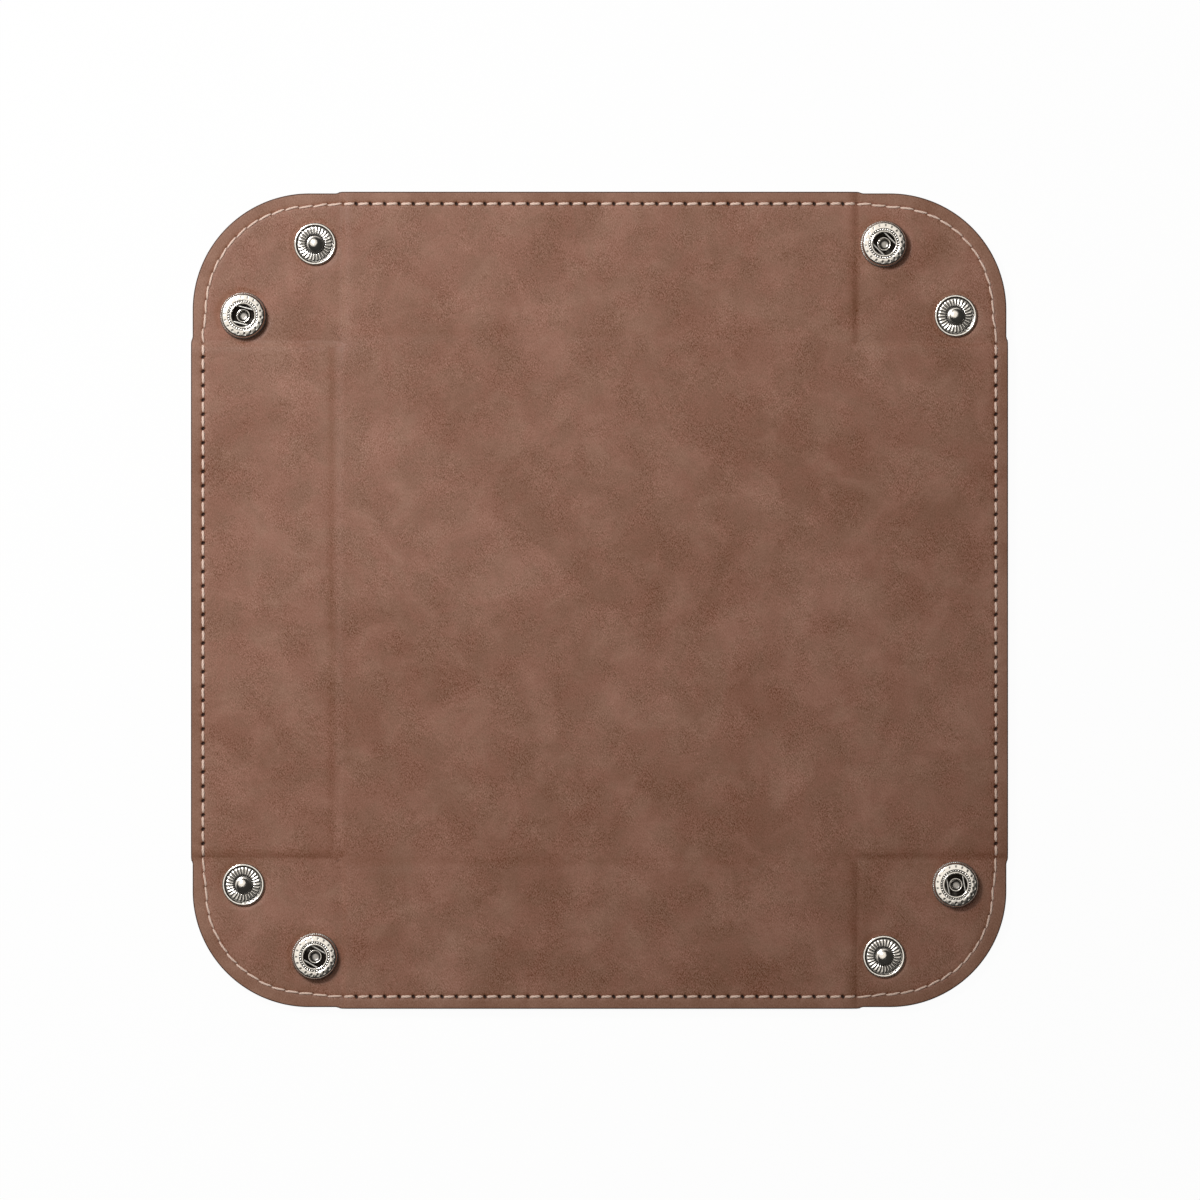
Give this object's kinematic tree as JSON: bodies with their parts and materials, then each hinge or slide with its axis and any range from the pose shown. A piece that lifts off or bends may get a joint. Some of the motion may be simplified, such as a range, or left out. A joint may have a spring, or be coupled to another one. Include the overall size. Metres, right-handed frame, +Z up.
{
  "type": "folding dice tray",
  "caption": "Flat square of lined leather stiffened by boards; its corners pinch and snap shut, which stands the flaps up as a shallow tray.",
  "frame": {"origin": "under the middle of the sheet, level with the lowest points of the caps that it lies on", "axes": "+Z up out of the tray's inner face, +Y towards the north flap, +X towards the east flap"},
  "size_m": [0.2052, 0.2052, 0.006],
  "materials": {
    "leather": "mottled brown nubuck, matt",
    "thread": "cream sewing thread",
    "grey_board": "grey stiffening board",
    "nickel": "nickel plated brass, bright",
    "spring_steel": "drawn wire"
  },
  "bodies": {
    "floor": {"floor_inner_skin": "leather", "floor_board": "grey_board", "floor_outer_skin": "leather"},
    "north_flap": {"north_flap_inner_skin": "leather", "north_flap_board": "grey_board", "north_flap_outer_skin": "leather"},
    "east_flap": {"east_flap_inner_skin": "leather", "east_flap_board": "grey_board", "east_flap_outer_skin": "leather"},
    "south_flap": {"south_flap_inner_skin": "leather", "south_flap_board": "grey_board", "south_flap_outer_skin": "leather"},
    "west_flap": {"west_flap_inner_skin": "leather", "west_flap_board": "grey_board", "west_flap_outer_skin": "leather"},
    "ne_socket_ear": {"ne_socket_ear_inner_skin": "leather", "ne_socket_ear_outer_skin": "leather", "ne_retaining_plate": "nickel", "ne_socket_shell": "nickel", "ne_socket_spring": "spring_steel", "ne_cap": "nickel"},
    "ne_stud_ear": {"ne_stud_ear_inner_skin": "leather", "ne_stud_ear_outer_skin": "leather", "ne_stud": "nickel", "ne_stud_post": "nickel"},
    "se_socket_ear": {"se_socket_ear_inner_skin": "leather", "se_socket_ear_outer_skin": "leather", "se_retaining_plate": "nickel", "se_socket_shell": "nickel", "se_socket_spring": "spring_steel", "se_cap": "nickel"},
    "se_stud_ear": {"se_stud_ear_inner_skin": "leather", "se_stud_ear_outer_skin": "leather", "se_stud": "nickel", "se_stud_post": "nickel"},
    "sw_socket_ear": {"sw_socket_ear_inner_skin": "leather", "sw_socket_ear_outer_skin": "leather", "sw_retaining_plate": "nickel", "sw_socket_shell": "nickel", "sw_socket_spring": "spring_steel", "sw_cap": "nickel"},
    "sw_stud_ear": {"sw_stud_ear_inner_skin": "leather", "sw_stud_ear_outer_skin": "leather", "sw_stud": "nickel", "sw_stud_post": "nickel"},
    "nw_socket_ear": {"nw_socket_ear_inner_skin": "leather", "nw_socket_ear_outer_skin": "leather", "nw_retaining_plate": "nickel", "nw_socket_shell": "nickel", "nw_socket_spring": "spring_steel", "nw_cap": "nickel"},
    "nw_stud_ear": {"nw_stud_ear_inner_skin": "leather", "nw_stud_ear_outer_skin": "leather", "nw_stud": "nickel", "nw_stud_post": "nickel"}
  },
  "joints": [
    {"name": "north_fold", "type": "hinge", "parent": "floor", "child": "north_flap", "pos_m": [0, 0.0663, 0.00425], "axis": [1, 0, 0], "range_deg": [0, 90]},
    {"name": "east_fold", "type": "hinge", "parent": "floor", "child": "east_flap", "pos_m": [0.0663, 0, 0.00425], "axis": [0, -1, 0], "range_deg": [0, 90]},
    {"name": "south_fold", "type": "hinge", "parent": "floor", "child": "south_flap", "pos_m": [0, -0.0663, 0.00425], "axis": [-1, 0, 0], "range_deg": [0, 90]},
    {"name": "west_fold", "type": "hinge", "parent": "floor", "child": "west_flap", "pos_m": [-0.0663, 0, 0.00425], "axis": [0, 1, 0], "range_deg": [0, 90]},
    {"name": "ne_ear_fold", "type": "hinge", "parent": "north_flap", "child": "ne_socket_ear", "pos_m": [0.06469, 0.08425, 0.00225], "axis": [0, 1, 0], "range_deg": [0, 45]},
    {"name": "se_ear_fold", "type": "hinge", "parent": "east_flap", "child": "se_socket_ear", "pos_m": [0.08425, -0.06469, 0.00225], "axis": [1, 0, 0], "range_deg": [0, 45]},
    {"name": "sw_ear_fold", "type": "hinge", "parent": "south_flap", "child": "sw_socket_ear", "pos_m": [-0.06469, -0.08425, 0.00225], "axis": [0, -1, 0], "range_deg": [0, 45]},
    {"name": "nw_ear_fold", "type": "hinge", "parent": "west_flap", "child": "nw_socket_ear", "pos_m": [-0.08425, 0.06469, 0.00225], "axis": [-1, 0, 0], "range_deg": [0, 45]},
    {"name": "ne_pinch", "type": "hinge", "parent": "ne_socket_ear", "child": "ne_stud_ear", "pos_m": [0.08425, 0.08425, 0.0048], "axis": [-0.7071, -0.7071, 0], "range_deg": [0, 180], "deforming": ["ne_socket_spring"]},
    {"name": "se_pinch", "type": "hinge", "parent": "se_socket_ear", "child": "se_stud_ear", "pos_m": [0.08425, -0.08425, 0.0048], "axis": [-0.7071, 0.7071, 0], "range_deg": [0, 180], "deforming": ["se_socket_spring"]},
    {"name": "sw_pinch", "type": "hinge", "parent": "sw_socket_ear", "child": "sw_stud_ear", "pos_m": [-0.08425, -0.08425, 0.0048], "axis": [0.7071, 0.7071, 0], "range_deg": [0, 180], "deforming": ["sw_socket_spring"]},
    {"name": "nw_pinch", "type": "hinge", "parent": "nw_socket_ear", "child": "nw_stud_ear", "pos_m": [-0.08425, 0.08425, 0.0048], "axis": [0.7071, -0.7071, 0], "range_deg": [0, 180], "deforming": ["nw_socket_spring"]}
  ],
  "couplings": [
    {"joint": "east_fold", "follows": "north_fold", "ratio": 1},
    {"joint": "south_fold", "follows": "north_fold", "ratio": 1},
    {"joint": "west_fold", "follows": "north_fold", "ratio": 1},
    {"joint": "ne_ear_fold", "follows": "north_fold", "ratio": 0.5},
    {"joint": "se_ear_fold", "follows": "north_fold", "ratio": 0.5},
    {"joint": "sw_ear_fold", "follows": "north_fold", "ratio": 0.5},
    {"joint": "nw_ear_fold", "follows": "north_fold", "ratio": 0.5},
    {"joint": "ne_pinch", "follows": "north_fold", "ratio": 2},
    {"joint": "se_pinch", "follows": "north_fold", "ratio": 2},
    {"joint": "sw_pinch", "follows": "north_fold", "ratio": 2},
    {"joint": "nw_pinch", "follows": "north_fold", "ratio": 2}
  ]
}
